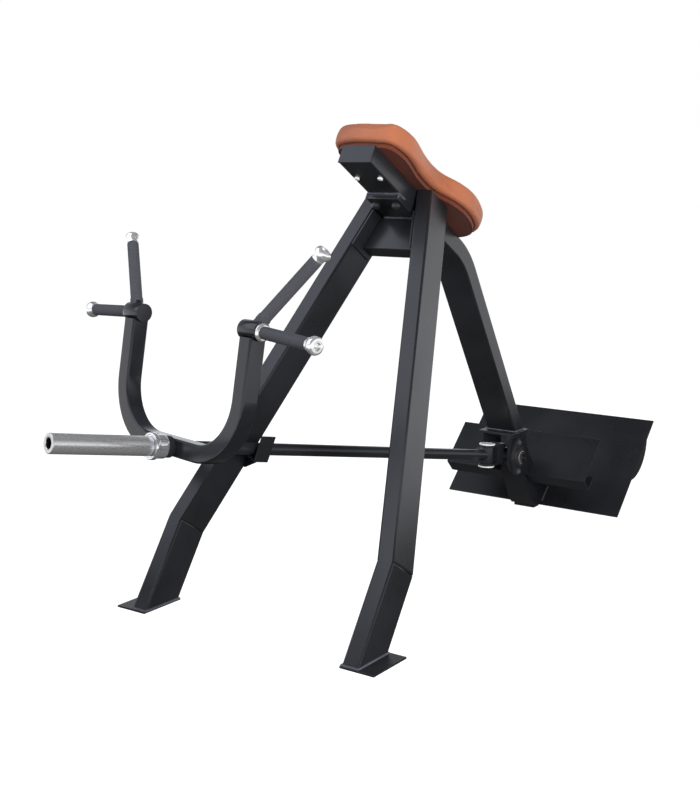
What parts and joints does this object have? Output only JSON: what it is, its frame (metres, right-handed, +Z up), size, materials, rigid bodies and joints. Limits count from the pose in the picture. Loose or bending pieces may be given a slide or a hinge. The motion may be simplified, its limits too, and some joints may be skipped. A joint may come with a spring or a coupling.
{
  "type": "chest-supported row machine",
  "caption": "Plate-loaded incline row: leaning front frame, chest pad, sloped footplates and a pivoting bar with a handled yoke and a weight sleeve, racked on a leg catch.",
  "frame": {"origin": "on the floor, under the rear foot and on the middle plane", "axes": "+X to the machine's right, +Y to its rear, where the user's feet stand, +Z up"},
  "size_m": [1.1305, 2.0356, 1.2243],
  "materials": {
    "frame_black": "satin powder coat",
    "bearing_black": "satin, cast housing",
    "ring_black": "satin",
    "pad_vinyl": "brown leather-like vinyl",
    "pad_back": "covered plywood",
    "grip_rubber": "matt, dark grey",
    "foot_rubber": "matt",
    "bright_aluminium": "turned, bright",
    "bright_chrome": "polished",
    "brushed_steel": "brushed"
  },
  "bodies": {
    "stand": {"base_post": "frame_black", "bearing_left": "bearing_black", "bearing_plate_left": "frame_black", "bearing_plate_right": "frame_black", "bearing_right": "bearing_black", "catch_floor": "frame_black", "catch_gusset": "frame_black", "catch_lip": "frame_black", "chest_pad": "pad_vinyl", "crossbar": "frame_black", "crossbar_plate_left": "frame_black", "crossbar_plate_right": "frame_black", "dome_bolt_left": "frame_black", "dome_bolt_right": "frame_black", "floor_plate_left": "frame_black", "floor_plate_right": "frame_black", "footplate": "frame_black", "footplate_rib_left": "frame_black", "footplate_rib_right": "frame_black", "front_leg_left": "frame_black", "front_leg_right": "frame_black", "front_shin_left": "frame_black", "front_shin_right": "frame_black", "joint_plate_lower": "frame_black", "joint_plate_upper": "frame_black", "pad_board": "pad_back", "pad_screw_left": "brushed_steel", "pad_screw_right": "brushed_steel", "rear_foot": "foot_rubber", "spine": "frame_black", "spine_cap": "frame_black", "spine_flange": "frame_black", "step_plate": "frame_black"},
    "swivel_fork": {"fork": "frame_black", "pivot_shaft": "brushed_steel", "shaft_nut_left": "brushed_steel", "shaft_nut_right": "brushed_steel", "swing_pin": "brushed_steel", "pin_cap_top": "bright_chrome", "pin_cap_bottom": "bright_chrome"},
    "lever": {"cross_cap_left": "bright_aluminium", "cross_cap_right": "bright_aluminium", "cross_grip_left": "grip_rubber", "cross_grip_right": "grip_rubber", "handle_hub_left": "frame_black", "handle_hub_right": "frame_black", "handle_ring_left": "bright_aluminium", "handle_ring_right": "bright_aluminium", "lever_bar": "frame_black", "raised_cap_left": "bright_aluminium", "raised_cap_right": "bright_aluminium", "raised_grip_left": "grip_rubber", "raised_grip_right": "grip_rubber", "sleeve_collar": "bright_chrome", "swivel_bush": "frame_black", "weight_sleeve": "brushed_steel", "yoke": "frame_black", "yoke_ring": "ring_black"}
  },
  "joints": [
    {"name": "lift", "type": "hinge", "parent": "stand", "child": "swivel_fork", "pos_m": [0, -0.17, 0.2065], "axis": [-1, 0, 0], "range_deg": [0, 22]},
    {"name": "swing", "type": "hinge", "parent": "swivel_fork", "child": "lever", "pos_m": [0, -0.26326, 0.22239], "axis": [0, 0.0698, 0.9976], "range_deg": [0, 13.6]}
  ],
  "couplings": [
    {"joint": "swing", "follows": "lift", "ratio": 0.618}
  ]
}
